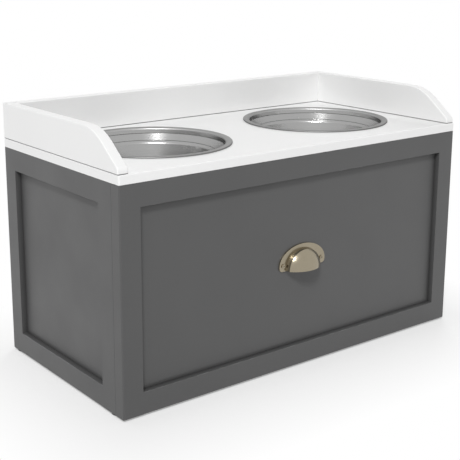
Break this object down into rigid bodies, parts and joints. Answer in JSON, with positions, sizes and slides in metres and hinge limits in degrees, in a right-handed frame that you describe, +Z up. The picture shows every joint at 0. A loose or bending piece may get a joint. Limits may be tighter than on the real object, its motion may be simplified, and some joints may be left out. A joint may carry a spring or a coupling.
{
  "type": "elevated dog feeder with storage drawer",
  "caption": "Raised dog feeder with lift-out steel bowls in a guarded top board, over a framed cabinet with a full-width storage drawer on roller runners and a cup pull.",
  "frame": {"origin": "centre of the overall footprint, the pull included, on the surface that the glides stand on", "axes": "+Z up, the drawer opens towards -Y, +X to the right as seen from the front"},
  "size_m": [0.6, 0.313, 0.365],
  "materials": {
    "grey_paint": "satin grey lacquer on fibreboard",
    "white_paint": "satin white lacquer on fibreboard",
    "stainless_steel": "satin spun stainless steel",
    "satin_nickel": "satin nickel plating on a zinc casting",
    "zinc_plating": "bright zinc plating",
    "runner_paint": "white epoxy powder coat",
    "nylon": "moulded natural nylon",
    "glide_plastic": "black polyethylene",
    "white_foil": "white foil on particle board",
    "hardboard": "lacquered hardboard",
    "beech": "plain fluted beech"
  },
  "bodies": {
    "cabinet": {"left_side_front_stile": "grey_paint", "left_side_back_stile": "grey_paint", "left_side_top_rail": "grey_paint", "left_side_bottom_rail": "grey_paint", "left_side_panel": "grey_paint", "left_front_glide": "glide_plastic", "left_back_glide": "glide_plastic", "right_side_front_stile": "grey_paint", "right_side_back_stile": "grey_paint", "right_side_top_rail": "grey_paint", "right_side_bottom_rail": "grey_paint", "right_side_panel": "grey_paint", "right_front_glide": "glide_plastic", "right_back_glide": "glide_plastic", "bottom_board": "grey_paint", "back_panel": "hardboard", "front_stretcher": "grey_paint", "back_stretcher": "grey_paint", "top_board": "white_paint", "left_guard": "white_paint", "right_guard": "white_paint", "back_guard": "white_paint", "carcass_dowels": "beech", "cam_bolts": "zinc_plating", "cam_locks": "zinc_plating", "top_board_screws": "zinc_plating", "guard_screws": "zinc_plating", "back_panel_screws": "zinc_plating", "left_cabinet_runner": "runner_paint", "right_cabinet_runner": "runner_paint", "cabinet_runner_screws": "zinc_plating", "front_roller_pins": "zinc_plating"},
    "drawer": {"drawer_front_left_stile": "grey_paint", "drawer_front_right_stile": "grey_paint", "drawer_front_top_rail": "grey_paint", "drawer_front_bottom_rail": "grey_paint", "drawer_front_panel": "grey_paint", "drawer_left_side": "white_foil", "drawer_right_side": "white_foil", "drawer_inner_front": "white_foil", "drawer_back": "white_foil", "drawer_bottom": "hardboard", "drawer_box_screws": "zinc_plating", "drawer_front_screws": "zinc_plating", "cup_pull": "satin_nickel", "pull_screws": "satin_nickel", "left_drawer_runner": "runner_paint", "right_drawer_runner": "runner_paint", "drawer_runner_screws": "zinc_plating", "rear_roller_pins": "zinc_plating"},
    "left_bowl": {"left_bowl": "stainless_steel"},
    "right_bowl": {"right_bowl": "stainless_steel"},
    "left_front_roller": {"left_front_roller": "nylon"},
    "right_front_roller": {"right_front_roller": "nylon"},
    "left_rear_roller": {"left_rear_roller": "nylon"},
    "right_rear_roller": {"right_rear_roller": "nylon"}
  },
  "joints": [
    {"name": "drawer_slide", "type": "slide", "parent": "cabinet", "child": "drawer", "axis": [0, -1, 0], "range_m": [0, 0.19]},
    {"name": "left_bowl_lift", "type": "slide", "parent": "cabinet", "child": "left_bowl", "axis": [0, 0, 1], "range_m": [0, 0.12]},
    {"name": "right_bowl_lift", "type": "slide", "parent": "cabinet", "child": "right_bowl", "axis": [0, 0, 1], "range_m": [0, 0.12]},
    {"name": "left_front_roller_turn", "type": "hinge", "parent": "cabinet", "child": "left_front_roller", "pos_m": [-0.27575, -0.115, 0.0318], "axis": [1, 0, 0], "range_deg": [0, 1216]},
    {"name": "left_rear_roller_turn", "type": "hinge", "parent": "drawer", "child": "left_rear_roller", "pos_m": [-0.27575, 0.1145, 0.0313], "axis": [1, 0, 0], "range_deg": [0, 1216]},
    {"name": "right_front_roller_turn", "type": "hinge", "parent": "cabinet", "child": "right_front_roller", "pos_m": [0.27575, -0.115, 0.0318], "axis": [1, 0, 0], "range_deg": [0, 1216]},
    {"name": "right_rear_roller_turn", "type": "hinge", "parent": "drawer", "child": "right_rear_roller", "pos_m": [0.27575, 0.1145, 0.0313], "axis": [1, 0, 0], "range_deg": [0, 1216]}
  ],
  "couplings": [
    {"joint": "left_front_roller_turn", "follows": "drawer_slide", "rad_per_m": 111.11},
    {"joint": "left_rear_roller_turn", "follows": "drawer_slide", "rad_per_m": 111.11},
    {"joint": "right_front_roller_turn", "follows": "drawer_slide", "rad_per_m": 111.11},
    {"joint": "right_rear_roller_turn", "follows": "drawer_slide", "rad_per_m": 111.11}
  ]
}
